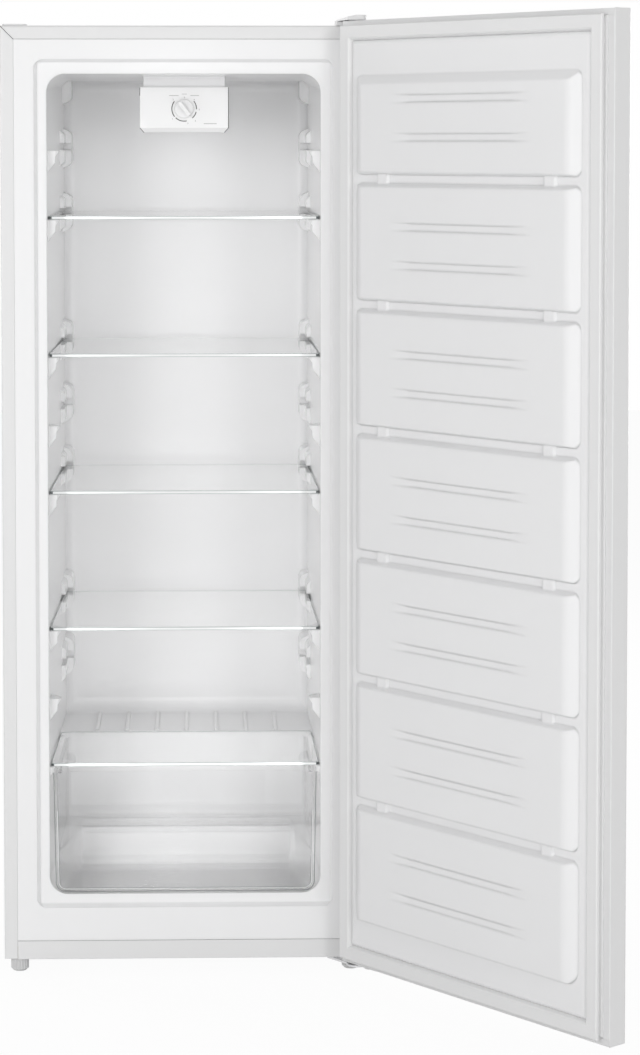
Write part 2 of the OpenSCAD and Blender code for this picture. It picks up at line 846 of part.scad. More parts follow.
module crisper_drawer() {
  t = drawer_t;
  floor_z = open_low + 1.5;
  rear_z = ledge_z + 1.5;
  top_z = level_z0 - glass_t / 2 - 5;
  front_w = open_w / 2 - 5.5;
  color(clear_tint) at_front() {
    along_y(drawer_y0, drawer_y0 + t + 0.5)
      polygon(rounded([[-front_w + 3, floor_z], [front_w - 3, floor_z], [front_w, top_z], [-front_w, top_z]],
        [16, 16, 2, 2]));
    difference() {
      drawer_tub(0, floor_z, rear_z, top_z);
      drawer_tub(t, floor_z, rear_z, top_z + 2 * t);
    }
    difference() {
      translate([-front_w + 6, drawer_y0 + 1, top_z - 3])
        cube([2 * front_w - 12, drawer_y1 - drawer_y0 - 1, 3]);
      translate([-front_w + 12, drawer_y0 + 1 + t, top_z - 4])
        cube([2 * front_w - 24, drawer_y1 - drawer_y0 - 3 - t, 5]);
    }
  }
}

// Tub of the drawer with all its outer walls drawn in by t
module drawer_tub(t, floor_z, rear_z, top_z) {
  side = open_w / 2 - 10;
  y0 = drawer_y0 + 1;
  deep_y = ledge_y - 4;
  intersection() {
    union() {
      along_z(floor_z + t, top_z) polygon([
        [-side + t, y0 + t], [side - t, y0 + t],
        [side - deep_taper - t, deep_y - t], [deep_taper - side + t, deep_y - t]]);
      along_z(rear_z + t, top_z) polygon(rounded([
        [-side + t, y0 + t], [side - t, y0 + t], [side - 5 - t, drawer_y1 - t], [-side + 5 + t, drawer_y1 - t]],
        [0, 0, 10 - t, 10 - t]));
    }
    along_y(y0, drawer_y1) polygon(rounded([
      [-side + 2 + t, floor_z + t], [side - 2 - t, floor_z + t], [side - t, top_z], [-side + t, top_z]],
      [14 - t, 14 - t, 0, 0]));
  }
}

// Upper hinge: inner edge of its pad, wall and height of its cover
hinge_inner = case_w / 2 - 44;
cover_t = 1.5;
cover_rise = door_z + door_h + 1 - case_top;
cover_high = case_top + cover_rise + 7;

// Outline of the upper hinge plate: a pad on the case and an arm to the pin
hinge_outline = rounded([
    [hinge_inner + 1, 50], [hinge_inner + 1, 12], [pin_x - 12, 9], [pin_x - 12, pin_y - 11],
    [pin_x + 10, pin_y - 11], [pin_x + 10, 50]
  ], [4, 4, 3, 6, 6, 4], 5);

// Inner outline of the cover over the plate, grown by g
function cover_outline(g) = rounded([
    [hinge_inner - g, 52 + g], [hinge_inner - g, 4 - g], [pin_x - 13 - g, pin_y - 13 - g],
    [pin_x + 11 + g, pin_y - 13 - g], [pin_x + 11 + g, 52 + g]
  ], [4, 6, 6, 6, 4], 5);

// Places of the screws of the upper hinge, on the case top
module at_hinge_holes() {
  for (p = [[36, 14], [14, 30], [36, 44]])
    translate([case_w / 2 - p[0], p[1], case_top]) children();
}

// Joggled steel plate: it lies on the case and steps up over the door
module top_hinge_bracket() {
  t = hinge_plate_t;
  rise = cover_rise;
  color(zinc) at_front()
    difference() {
      intersection() {
        along_z(case_top, case_top + t + rise) polygon(hinge_outline);
        along_x(2 * case_w)
          polygon([[60, case_top], [60, case_top + t], [8, case_top + t], [2, case_top + t + rise],
            [-80, case_top + t + rise], [-80, case_top + rise], [0, case_top + rise], [6, case_top]]);
      }
      at_hinge_holes() cylinder(h = 4 * t, r = screw_r, center = true);
      translate([pin_x, pin_y, case_top]) cylinder(h = 30, r = pin_r);
    }
}

// Riveted pin that hangs into the top of the door
module top_hinge_pin() {
  z = door_z + door_h + 1 + hinge_plate_t;
  color(zinc) at_front()
    translate([pin_x, pin_y, z]) {
      cylinder(h = 1.2, r1 = pin_r + 1.5, r2 = pin_r + 0.5);
      translate([0, 0, -bush_l]) cylinder(h = bush_l, r = pin_r);
    }
}

module top_hinge_screws() {
  color(zinc) at_front()
    at_hinge_holes() {
      translate([0, 0, hinge_plate_t]) cylinder(h = 3, r = 4.5, $fn = 6);
      translate([0, 0, -14]) cylinder(h = 14 + hinge_plate_t, r = screw_r);
    }
}

// Plastic cover snapped over the upper hinge, closed by a low wall above the front of the case
module top_hinge_cover() {
  under = case_top + cover_rise - 0.4;
  color([0.86, 0.86, 0.87]) at_front()
    difference() {
      intersection() {
        cover_form(0);
        along_x(2 * case_w) polygon([
          [80, case_top], [80, 2 * case_top], [-80, 2 * case_top], [-80, under], [-0.5, under],
          [-0.5, case_top]]);
      }
      difference() {
        cover_form(cover_t);
        translate([0, -0.5, case_top]) cube([case_w, 1, cover_rise - 0.8]);
      }
    }
}

// Body of the cover with its top sloping down to the inner edge, drawn in by t
module cover_form(t) {
  inner = hinge_inner - cover_t + t;
  high = cover_high - t;
  intersection() {
    along_z(case_top - 1, high) polygon(cover_outline(cover_t - t));
    along_y(-100, 100) polygon([
      [inner - 1, case_top - 2], [inner - 1, high - 6.2], [inner + 25, high - 0.5], [inner + 30, high + 1],
      [case_w, high + 1], [case_w, case_top - 2]]);
  }
}

// Cap over the unused hinge holes on the other side of the case top
module hinge_blanking_cap() {
  color(steel_white) at_front()
    translate([-case_w / 2 + 20, 24, case_top])
      along_z(0, 2.5) polygon(rounded_box(-17, -19, 19, 19, 5));
}

// Outline of the lower hinge plate with a round end under the pin
lower_plate = rounded([
    [case_w / 2 - 58, 60], [case_w / 2 - 58, 6], [pin_x - 14, pin_y + 4], [pin_x - 14, pin_y - 14],
    [pin_x + 14, pin_y - 14], [pin_x + 14, 60]
  ], [5, 8, 6, 13, 13, 5], 6);

// Places of the screws of the lower hinge, under the case
module at_bottom_screws() {
  for (p = [[48, 16], [48, 46], [12, 50]])
    translate([case_w / 2 - p[0], p[1], case_z]) children();
}

module bottom_hinge_bracket() {
  t = hinge_plate_t;
  color(zinc) at_front()
    difference() {
      union() {
        along_z(case_z - 1 - t, case_z - 1) polygon(lower_plate);
        along_z(case_z - 1, case_z) intersection() {
          polygon(lower_plate);
          translate([0, 14]) square([case_w, 60]);
        }
      }
      at_bottom_screws() cylinder(h = 4 * t, r = screw_r, center = true);
      translate([foot_x, foot_y, case_z]) cylinder(h = 4 * t, r = stud_r + 0.1, center = true);
      translate([pin_x, pin_y, case_z]) cylinder(h = 4 * t, r = pin_r, center = true);
    }
}

// Upright pin that carries the weight of the door
module bottom_hinge_pin() {
  t = hinge_plate_t;
  color(zinc) at_front()
    translate([pin_x, pin_y, case_z - 1 - t]) {
      translate([0, 0, -1.5]) cylinder(h = 1.5, r = pin_r + 1.5);
      cylinder(h = bush_l + t, r = pin_r);
    }
}

module bottom_hinge_screws() {
  color(zinc) at_front()
    at_bottom_screws() {
      translate([0, 0, -1 - hinge_plate_t - 3]) cylinder(h = 3, r = 4.5, $fn = 6);
      translate([0, 0, -1 - hinge_plate_t]) cylinder(h = 14 + 1 + hinge_plate_t, r = screw_r);
    }
}

// Plan of the door slab drawn in by t, with rounded outer edges
function slab_plan(t) = rounded([
    [-case_w / 2 + t, door_in - t], [-case_w / 2 + t, door_out + t],
    [case_w / 2 - t, door_out + t], [case_w / 2 - t, door_in - t]
  ], [1.2 - t, skin_r - t, skin_r - t, 1.2 - t], 6);

// Steel skin: front, both sides and a hem on the inside, cut back where the end caps wrap round
module door_skin() {
  color(steel_white) on_door()
    difference() {
      along_z(door_z, door_z + door_h) polygon(slab_plan(0));
      along_z(door_z - 1, door_z + door_h + 1) polygon(slab_plan(skin_t));
      translate([-case_w / 2 + hem_w, door_in - 2, door_z - 1]) cube([case_w - 2 * hem_w, 4, door_h + 2]);
      for (z = [door_z - 1, door_z + door_h - 0.5 - cap_h])
        translate([-case_w / 2 + skin_t, door_in - 2, z]) cube([case_w - 2 * skin_t, 4, cap_h + 1.5]);
    }
}

// End cap inside the skin, wrapped round onto the inner face
module end_cap(z0, z1) {
  along_z(z0, z1) union() {
    polygon(slab_plan(skin_t));
    translate([-case_w / 2 + skin_t, door_in - 2]) square([case_w - 2 * skin_t, 2]);
  }
}

module door_top_cap() {
  z1 = door_z + door_h - 0.5;
  color(steel_white) on_door()
    difference() {
      end_cap(z1 - cap_h, z1);
      translate([pin_x, pin_y, z1 - 2 * cap_h]) cylinder(h = 3 * cap_h, r = bush_r);
    }
}

// Lower end cap with a stop pad and lug beside the hinge pin
module door_bottom_cap() {
  z0 = door_z + 0.5;
  color(steel_white) on_door() {
    difference() {
      end_cap(z0, z0 + cap_h);
      translate([pin_x, pin_y, z0 - cap_h]) cylinder(h = 3 * cap_h, r = bush_r);
    }
    translate([pin_x, pin_y, 0]) {
      along_z(z0 - pad_t, z0) polygon(rounded_box(-57, -6, -12, 11, 4));
      along_z(z0 - pad_t - lug_h, z0) polygon(rounded_box(-31, -6, -20, 4, 3));
    }
  }
}

// Plastic cup in which the upper pin turns
module door_bush_top() {
  z1 = door_z + door_h - 0.5;
  color(rubber_grey) on_door()
    translate([pin_x, pin_y, z1 - bush_l])
      difference() {
        cylinder(h = bush_l + 0.8, r = bush_r);
        translate([0, 0, 2]) cylinder(h = bush_l, r = pin_r + pin_clear);
      }
}

// Plastic cup with a collar that runs on the lower hinge plate
module door_bush_bottom() {
  z0 = door_z + 0.5;
  collar_z = case_z - 1 + 0.3;
  color(rubber_grey) on_door()
    translate([pin_x, pin_y, 0])
      difference() {
        union() {
          translate([0, 0, collar_z]) cylinder(h = z0 - collar_z, r = bush_r + 1.5);
          translate([0, 0, z0]) cylinder(h = bush_l, r = bush_r);
        }
        translate([0, 0, collar_z - 1]) cylinder(h = bush_l + 3, r = pin_r + pin_clear);
      }
}

// Raised plateau of the door liner with rounded edges, drawn in by t
module plateau_form(t) {
  half = plateau_x - t;
  low = plateau_low + t;
  high = plateau_high - t;
  foot = door_in - 3;
  top = door_in + plateau_h - t;
  r = plateau_r - t;
  intersection() {
    along_z(low - 5, high + 5)
      polygon(rounded([[-half - 1.5, foot], [-half, top], [half, top], [half + 1.5, foot]], [0, r, r, 0]));
    along_x(case_w)
      polygon(rounded([[foot, low - 1.5], [top, low], [top, high], [foot, high + 1.5]], [0, r, r, 0]));
    along_y(foot, top + 1) polygon(rounded_box(-half - 1.5, low - 1.5, half + 1.5, high + 1.5, 6));
  }
}

// Low and high edge of panel k, counted from the bottom
function panel_z0(k) = panel_low + k * panel_pitch;
function panel_z1(k) = k < panel_count - 1 ? panel_z0(k + 1) - channel_h : panel_high;
function upper_slope(k) = k < panel_count - 1 ? edge_slope : top_slope;

// Plan of a panel: flat in the middle, with a long soft slope down to the plateau on each side
function panel_plan(t) =
  let (a = case_w / 2 - flat_inset - t, b = a + slope_run, top = door_in + panel_h - t,
       foot = door_in + plateau_h - 0.2 - t, base = foot - 4)
  rounded([
    [-b - 4, base], [-b - 4, foot], [-b, foot], [-a, top], [a, top], [b, foot], [b + 4, foot], [b + 4, base]
  ], [0, 0, 12, 26, 26, 12, 0, 0], 5);

// Side view of all panels as one toothed outline, drawn in by t
function panel_teeth(t) = let (top = door_in + panel_h - t, foot = door_in + plateau_h - t - 1) concat(
    [[foot - 3, panel_low - 6]],
    [for (k = [0 : panel_count - 1]) each [
      [foot, panel_z0(k) - 3 + t], [top, panel_z0(k) + t], [top, panel_z1(k) - t],
      [foot, panel_z1(k) + upper_slope(k) - t]]],
    [[foot - 3, panel_high + 16]]);

function panel_radii() = concat([0], [for (k = [0 : panel_count - 1]) each [0, 3, 3, 0]], [0]);

// The raised panels with their rounded corners, drawn in by t
module panel_form(t) {
  side = case_w / 2 - flat_inset + slope_run - t;
  intersection() {
    along_z(panel_low - 10, panel_high + 30) polygon(panel_plan(t));
    along_x(case_w) polygon(rounded(panel_teeth(t), panel_radii(), 3));
    along_y(door_in, door_in + panel_h + 1)
      for (k = [0 : panel_count - 1])
        let (z0 = panel_z0(k) - 3.5 + t, z1 = panel_z1(k) + upper_slope(k) - t,
             r = panel_r - t, low_r = k > 0 ? r : lowest_r - t)
          polygon(rounded([[-side, z0], [side, z0], [side, z1], [-side, z1]], [low_r, low_r, r, r], 8));
  }
}

// Two low ridges that cross every channel, drawn in by t
module channel_ridges(t) {
  both_sides()
    along_z(panel_low + 40, panel_high - 40) polygon([
      [155 + t, door_in + plateau_h - t - 1], [158.5 + t, door_in + plateau_h + 4 - t],
      [177.5 - t, door_in + plateau_h + 4 - t], [181 - t, door_in + plateau_h - t - 1]]);
}

// Two wide shallow grooves in each panel, with sloped sides, fading out at both ends
module panel_grooves() {
  top = door_in + panel_h;
  w = groove_w / 2;
  d = groove_depth;
  height = panel_pitch - channel_h;
  for (k = [0 : panel_count - 1], f = [0.31, 0.65])
    translate([0, top, panel_z0(k) + f * height])
      intersection() {
        along_x(2 * groove_half) polygon([[0.5, -w - d / 2], [-d, -w + d], [-d, w - d], [0.5, w + d / 2]]);
        along_z(-w - d, w + d) polygon([
          [-groove_half, 0.5], [-groove_half, 0], [groove_fade - groove_half, -d],
          [groove_half - groove_fade, -d], [groove_half, 0], [groove_half, 0.5]]);
      }
}

// Moulded inner face of the door
module door_liner() {
  low = door_z + 0.5 + cap_h;
  high = door_z + door_h - 0.5 - cap_h;
  color(liner_white) on_door()
    difference() {
      union() {
        translate([-case_w / 2 + hem_w, door_in - liner_t, low])
          cube([case_w - 2 * hem_w, liner_t, high - low]);
        intersection() {
          union() {
            plateau_form(0);
            panel_form(0);
            channel_ridges(0);
          }
          translate([-case_w, door_in - liner_t, 0]) cube([2 * case_w, 100, 2 * case_h]);
        }
      }
      door_core();
      panel_grooves();
    }
}

// Space behind the door liner's raised steps
module door_core() {
  plateau_form(liner_t);
  panel_form(liner_t);
}

// Rigid foam inside the door
module door_foam() {
  low = door_z + 0.5 + cap_h;
  high = door_z + door_h - 0.5 - cap_h;
  color(foam_cream) on_door()
    difference() {
      union() {
        intersection() {
          along_z(low, high) polygon(slab_plan(skin_t));
          translate([-case_w, door_out, 0]) cube([2 * case_w, door_t - liner_t, 2 * case_h]);
        }
        door_core();
      }
      translate([pin_x, pin_y, 0]) {
        translate([0, 0, door_z]) cylinder(h = bush_l + 0.5, r = bush_r);
        translate([0, 0, door_z + door_h - 0.5 - bush_l]) cylinder(h = bush_l + 1, r = bush_r);
      }
    }
}

// Section of the gasket: foot, folded bellows, magnet tube and a lip that slopes down to the plateau
gasket_section = [
    [2, 0], [18, 0], [18, 3], [14.5, 4.5], [17, 7], [14, 9.4], [gasket_band - 1.5, 10.2],
    [gasket_band + lip_w - 1.1, lip_low - 0.5], [gasket_band + lip_w, lip_low],
    [gasket_band, gasket_h - lip_round], [gasket_band - lip_round, gasket_h],
    [gasket_round, gasket_h], [0, gasket_h - gasket_round], [0, 10.2], [6, 9.4], [3, 7], [5.5, 4.5], [2, 3]
  ];

// Magnetic gasket: four runs mitred at the corners
module door_gasket() {
  w = case_w - 2 * gasket_side;
  h = door_h - gasket_low - gasket_high;
  depth = gasket_band + lip_w;
  color(rubber_grey) on_door()
    translate([0, door_in, door_z + gasket_low + h / 2]) rotate([-90, 0, 0])
      for (k = [0 : 3]) {
        long = k % 2 == 0 ? w : h;
        off = k % 2 == 0 ? h / 2 : w / 2;
        rotate([0, 0, 90 * k])
          intersection() {
            translate([0, -off, 0]) along_x(long) polygon(gasket_section);
            along_z(-1, gasket_h + 1) polygon([
              [-long / 2, -off], [long / 2, -off],
              [long / 2 - depth, depth - off], [depth - long / 2, depth - off]]);
          }
      }
}

outer_case();
back_panel();
back_panel_screws();
base_pan();
front_rail();
foam_insulation();
inner_liner();
condenser_coil();
evaporator_coil();
evaporator_plate();
compressor_tray();
compressor();
compressor_grommets();
compressor_bolts();
starter_cover();
filter_drier();
discharge_tube();
suction_tube();
cord_inlet();
rear_feet();
front_foot_left();
front_foot_right();
thermostat_housing();
housing_base();
thermostat_body();
thermostat_shaft();
thermostat_knob();
glass_shelf_1();
glass_shelf_2();
glass_shelf_3();
glass_shelf_4();
crisper_cover();
crisper_drawer();
top_hinge_bracket();
top_hinge_pin();
top_hinge_screws();
top_hinge_cover();
hinge_blanking_cap();
bottom_hinge_bracket();
bottom_hinge_pin();
bottom_hinge_screws();
door_skin();
door_foam();
door_liner();
door_gasket();
door_top_cap();
door_bottom_cap();
door_bush_top();
door_bush_bottom();
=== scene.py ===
"""Upright single-door refrigerator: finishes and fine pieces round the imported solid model."""

import math

import bmesh
import bpy
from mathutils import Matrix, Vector


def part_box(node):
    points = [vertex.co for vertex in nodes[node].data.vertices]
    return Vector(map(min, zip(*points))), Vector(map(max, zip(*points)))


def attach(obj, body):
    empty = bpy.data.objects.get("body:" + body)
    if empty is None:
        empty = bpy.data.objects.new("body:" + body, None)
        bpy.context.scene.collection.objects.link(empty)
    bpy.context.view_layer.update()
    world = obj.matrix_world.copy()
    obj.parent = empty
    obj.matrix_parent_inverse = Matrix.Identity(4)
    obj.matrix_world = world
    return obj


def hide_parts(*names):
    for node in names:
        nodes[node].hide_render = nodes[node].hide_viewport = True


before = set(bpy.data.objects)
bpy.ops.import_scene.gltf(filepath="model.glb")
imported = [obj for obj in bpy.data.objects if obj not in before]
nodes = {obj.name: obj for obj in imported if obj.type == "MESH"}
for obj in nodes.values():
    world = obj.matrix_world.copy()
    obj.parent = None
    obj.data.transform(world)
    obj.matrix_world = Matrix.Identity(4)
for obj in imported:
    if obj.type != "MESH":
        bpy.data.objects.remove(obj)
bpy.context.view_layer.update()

# Camera: a long lens a little over four metres in front of the case, a little above the top shelf.
# It looks down by lens shift more than by tilt, so that the sides of the case stay nearly upright.
case_low, case_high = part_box("outer_case")
mid_x = (case_low.x + case_high.x) / 2
front_y = case_low.y


def spot(x, y, z):
    """Place of a point given in millimetres from the case's middle, its front plane and the floor."""
    return Vector((mid_x + x / 1000, front_y + y / 1000, z / 1000))


camera_data = bpy.data.cameras.new("camera")
camera_data.lens = 97.36
camera_data.sensor_width = 36
camera_data.shift_x = 0.0414
camera_data.shift_y = -0.2251
camera = bpy.data.objects.new("camera", camera_data)
camera.location = spot(35.1, -4251.9, 1251.7)
camera.rotation_euler = [math.radians(a) for a in (87.052, 0.032, -1.385)]
bpy.context.scene.collection.objects.link(camera)
bpy.context.scene.camera = camera

# Studio: one pale floor, an even pale world, four soft boxes, a tall strip light and seven small lamps
# in the opening, which lift the walls inside. The camera, mirrors and glass see the background as plain
# white, and the floor keeps a faint shadow.
scene = bpy.context.scene
scene.view_settings.view_transform = "Standard"
WORLD_LEVEL = 0.48
FLOOR_SHADOW = 0.05
FLOOR_REACH = 9


def rgb(red, green=None, blue=None):
    """Opaque colour; green and blue are the same as red where they are left out."""
    return (red, red if green is None else green, red if blue is None else blue, 1)


def seen_directly(tree):
    """Value that is 1 on camera, glossy and transmission rays and 0 on all others."""
    path = tree.nodes.new("ShaderNodeLightPath")
    total = path.outputs["Is Camera Ray"]
    for name in ("Is Glossy Ray", "Is Transmission Ray"):
        more = tree.nodes.new("ShaderNodeMath")
        more.operation = "MAXIMUM"
        tree.links.new(total, more.inputs[0])
        tree.links.new(path.outputs[name], more.inputs[1])
        total = more.outputs[0]
    return total


world = bpy.data.worlds.new("studio")
scene.world = world
world.use_nodes = True
tree = world.node_tree
sky = tree.nodes["Background"]
sky.inputs["Color"].default_value = rgb(1)
level = tree.nodes.new("ShaderNodeMapRange")
level.inputs["To Min"].default_value = WORLD_LEVEL
level.inputs["To Max"].default_value = 1.0
tree.links.new(seen_directly(tree), level.inputs["Value"])
tree.links.new(level.outputs["Result"], sky.inputs["Strength"])

floor_mesh = bpy.data.meshes.new("floor")
floor_corners = [(x * FLOOR_REACH, y * FLOOR_REACH, 0) for x, y in ((-1, -1), (1, -1), (1, 1), (-1, 1))]
floor_mesh.from_pydata(floor_corners, [], [(0, 1, 2, 3)])
floor = bpy.data.objects.new("floor", floor_mesh)
scene.collection.objects.link(floor)
paper = bpy.data.materials.new("studio_paper")
paper.use_nodes = True
tree = paper.node_tree
tree.nodes.clear()
matt = tree.nodes.new("ShaderNodeBsdfDiffuse")
matt.inputs["Color"].default_value = rgb(0.86)
white = tree.nodes.new("ShaderNodeEmission")
white.inputs["Strength"].default_value = 1.0
share = tree.nodes.new("ShaderNodeMath")
share.operation = "MULTIPLY"
share.inputs[1].default_value = 1 - FLOOR_SHADOW
tree.links.new(seen_directly(tree), share.inputs[0])
mix = tree.nodes.new("ShaderNodeMixShader")
tree.links.new(share.outputs[0], mix.inputs["Fac"])
tree.links.new(matt.outputs[0], mix.inputs[1])
tree.links.new(white.outputs[0], mix.inputs[2])
out = tree.nodes.new("ShaderNodeOutputMaterial")
tree.links.new(mix.outputs[0], out.inputs["Surface"])
floor_mesh.materials.append(paper)

# Place and aim in millimetres, width and height in metres, power in watts, spread in degrees
for name, place, aim, width, height, power, spread in (
    ("soft_box_left", (-1900, -4300, 1500), (0, 100, 750), 1.4, 2.0, 55, 180),
    ("soft_box_right", (1900, -4400, 1500), (0, 100, 750), 1.4, 2.0, 36, 180),
    ("rear_box_left", (-2500, 2200, 1500), (0, 255, 700), 1.6, 2.0, 44, 180),
    ("rear_box_right", (2500, 2200, 1500), (0, 255, 700), 1.6, 2.0, 44, 180),
    ("strip_light", (-75, -4500, 1050), (0, 100, 900), 0.14, 2.1, 5.5, 180),
    ("opening_left", (-150, 0, 735), (150, 300, 735), 0.08, 1.1, 0.12, 135),
    ("opening_right", (150, 0, 735), (-150, 300, 735), 0.08, 1.1, 0.12, 135),
    ("upper_left", (-150, 0, 1130), (150, 300, 1130), 0.08, 0.3, 0.05, 135),
    ("upper_right", (150, 0, 1130), (-150, 300, 1130), 0.08, 0.3, 0.05, 135),
    ("lower_left", (-150, 0, 360), (150, 300, 360), 0.08, 0.36, 0.06, 135),
    ("lower_right", (150, 0, 360), (-150, 300, 360), 0.08, 0.36, 0.06, 135),
    ("crisper_panel", (0, 0, 270), (0, 400, 270), 0.38, 0.2, 0.07, 170),
):
    lamp_data = bpy.data.lights.new(name, "AREA")
    lamp_data.shape = "RECTANGLE"
    lamp_data.size = width
    lamp_data.size_y = height
    lamp_data.energy = power
    lamp_data.spread = math.radians(spread)
    lamp = bpy.data.objects.new(name, lamp_data)
    lamp.location = spot(*place)
    lamp.rotation_euler = (spot(*aim) - spot(*place)).to_track_quat("-Z", "Y").to_euler()
    lamp.visible_camera = False
    scene.collection.objects.link(lamp)

# Cabinet wrap and rail: thin steel sheet, folded and mitred at the front, in a smooth white enamel.
# The enamel has a very fine orange peel, softened folds and slow cloudy changes of tone and gloss.


def shader_group(name, sockets_in, sockets_out):
    """Empty shader node group with the given inputs (name, kind, default) and outputs (name, kind)."""
    group = bpy.data.node_groups.new(name, "ShaderNodeTree")
    for label, kind, default in sockets_in:
        socket = group.interface.new_socket(label, in_out="INPUT", socket_type="NodeSocket" + kind)
        socket.default_value = default
    for label, kind in sockets_out:
        group.interface.new_socket(label, in_out="OUTPUT", socket_type="NodeSocket" + kind)
    return group, group.nodes.new("NodeGroupInput"), group.nodes.new("NodeGroupOutput")


def add(tree, kind, links=(), **values):
    """New node; values set its properties or sockets by name, links are (source socket, input name)."""
    node = tree.nodes.new("ShaderNode" + kind)
    for key, value in values.items():
        if hasattr(node, key):
            setattr(node, key, value)
        else:
            node.inputs[key.replace("_", " ")].default_value = value
    for source, target in links:
        tree.links.new(source, node.inputs[target])
    return node


# Colour sockets of Blender's Mix node, which share their names with its number and vector sockets
MIX_FIRST, MIX_SECOND, MIX_RESULT = 6, 7, 2


def mix_tones(tree, factor, g_in, first, second, g_out):
    """Colour output of a group: its input first where factor is 0 and its input second where it is 1."""
    tone = add(tree, "Mix", [(factor, "Factor")], data_type="RGBA")
    tree.links.new(g_in.outputs[first], tone.inputs[MIX_FIRST])
    tree.links.new(g_in.outputs[second], tone.inputs[MIX_SECOND])
    tree.links.new(tone.outputs[MIX_RESULT], g_out.inputs["Color"])


# Enamel: fine bumps for the peel, and a slow cloud that mixes the two paints and varies the gloss.
enamel_group, g_in, g_out = shader_group(
    "enamel_peel",
    [
        ("Grain", "Float", 900.0),
        ("Paint", "Color", rgb(0.8)),
        ("Thin Paint", "Color", rgb(0.75)),
        ("Gloss", "Float", 0.3),
        ("Fold Radius", "Float", 0.001),
    ],
    [("Color", "Color"), ("Roughness", "Float"), ("Normal", "Vector")],
)
tree = enamel_group
place = add(tree, "TexCoord").outputs["Object"]
fine = add(tree, "TexNoise", [(place, "Vector"), (g_in.outputs["Grain"], "Scale")], Detail=2.0)
cloud = add(tree, "TexNoise", [(place, "Vector")], Scale=3.0, Detail=3.0)
mix_tones(tree, cloud.outputs["Fac"], g_in, "Paint", "Thin Paint", g_out)
shine = add(tree, "MapRange", [(cloud.outputs["Fac"], "Value")], To_Min=-0.04, To_Max=0.06)
total = add(tree, "Math", [(shine.outputs["Result"], 0), (g_in.outputs["Gloss"], 1)], operation="ADD")
tree.links.new(total.outputs[0], g_out.inputs["Roughness"])
soft = add(tree, "Bevel", [(g_in.outputs["Fold Radius"], "Radius")], samples=4)
bump = add(
    tree, "Bump", [(fine.outputs["Fac"], "Height"), (soft.outputs["Normal"], "Normal")],
    Strength=0.06, Distance=0.0003,
)
tree.links.new(bump.outputs["Normal"], g_out.inputs["Normal"])


def finish(name, group, surface=(), light_through=0.0, seen_through=0.0, **values):
    """Material whose colour, roughness and normal come from a node group with its own values.

    light_through is the share of light that passes straight on to the surfaces behind it, and
    seen_through the share of the view that does.
    """
    material = bpy.data.materials.new(name)
    material.use_nodes = True
    tree = material.node_tree
    shader = tree.nodes["Principled BSDF"]
    for key, value in dict(surface).items():
        shader.inputs[key].default_value = value
    effect = tree.nodes.new("ShaderNodeGroup")
    effect.node_tree = group
    effect.label = group.name
    for key, value in values.items():
        effect.inputs[key.replace("_", " ")].default_value = value
    for socket in effect.outputs:
        target = {"Color": "Base Color"}.get(socket.name, socket.name)
        tree.links.new(socket, shader.inputs[target])
    if light_through:
        path = add(tree, "LightPath")
        passing = add(
            tree, "Math", [(path.outputs["Is Shadow Ray"], 0), (path.outputs["Is Diffuse Ray"], 1)],
            operation="MAXIMUM",
        )
        solid = add(
            tree, "MapRange", [(passing.outputs[0], "Value")],
            To_Min=1 - seen_through, To_Max=1 - light_through,
        )
        tree.links.new(solid.outputs["Result"], shader.inputs["Alpha"])
    return material


def dress(material, *names):
    """Gives a CAD node this material in every slot it has."""
    for name in names:
        mesh = nodes[name].data
        if not mesh.materials:
            mesh.materials.append(material)
        for i in range(len(mesh.materials)):
            mesh.materials[i] = material


enamel = finish(
    "white_enamel", enamel_group, {"Coat Weight": 0.1, "Coat Roughness": 0.15},
    Paint=rgb(0.805), Thin_Paint=rgb(0.785, 0.785, 0.787), Gloss=0.36, Fold_Radius=0.0012,
)
dress(enamel, "outer_case", "front_rail")

# Back sheet, base sheet and tray: zinc coated steel, pressed and screwed, with a faint crystal pattern.
# Screws and hinge plates share the metal with a finer pattern.
zinc_group, g_in, g_out = shader_group(
    "zinc_spangle",
    [
        ("Crystal Size", "Float", 90.0),
        ("Bright", "Color", rgb(0.62, 0.63, 0.65)),
        ("Dull", "Color", rgb(0.45, 0.46, 0.48)),
    ],
    [("Color", "Color"), ("Roughness", "Float"), ("Normal", "Vector")],
)
tree = zinc_group
place = add(tree, "TexCoord").outputs["Object"]
warp = add(tree, "TexNoise", [(place, "Vector")], Scale=40.0, Detail=2.0)
bent = add(tree, "VectorMath", [(warp.outputs["Color"], 0)], operation="SCALE", Scale=0.012)
moved = add(tree, "VectorMath", [(place, 0), (bent.outputs[0], 1)], operation="ADD")
cells = add(
    tree, "TexVoronoi", [(moved.outputs[0], "Vector"), (g_in.outputs["Crystal Size"], "Scale")],
    Randomness=1.0,
)
shade = add(tree, "SeparateColor", [(cells.outputs["Color"], "Color")])
mix_tones(tree, shade.outputs[0], g_in, "Bright", "Dull", g_out)
rough = add(tree, "MapRange", [(shade.outputs[1], "Value")], To_Min=0.28, To_Max=0.5)
tree.links.new(rough.outputs["Result"], g_out.inputs["Roughness"])
soft = add(tree, "Bevel", Radius=0.0008, samples=4)
bump = add(
    tree, "Bump", [(cells.outputs["Distance"], "Height"), (soft.outputs["Normal"], "Normal")],
    Strength=0.05, Distance=0.0004,
)
tree.links.new(bump.outputs["Normal"], g_out.inputs["Normal"])
zinc_sheet = finish("zinc_sheet", zinc_group, {"Metallic": 0.85}, Crystal_Size=70.0)
zinc_parts = finish(
    "zinc_parts", zinc_group, {"Metallic": 0.95},
    Crystal_Size=420.0, Bright=rgb(0.72), Dull=rgb(0.60, 0.60, 0.62),
)
dress(zinc_sheet, "back_panel", "base_pan", "compressor_tray")
dress(zinc_parts, "back_panel_screws", "compressor_bolts")

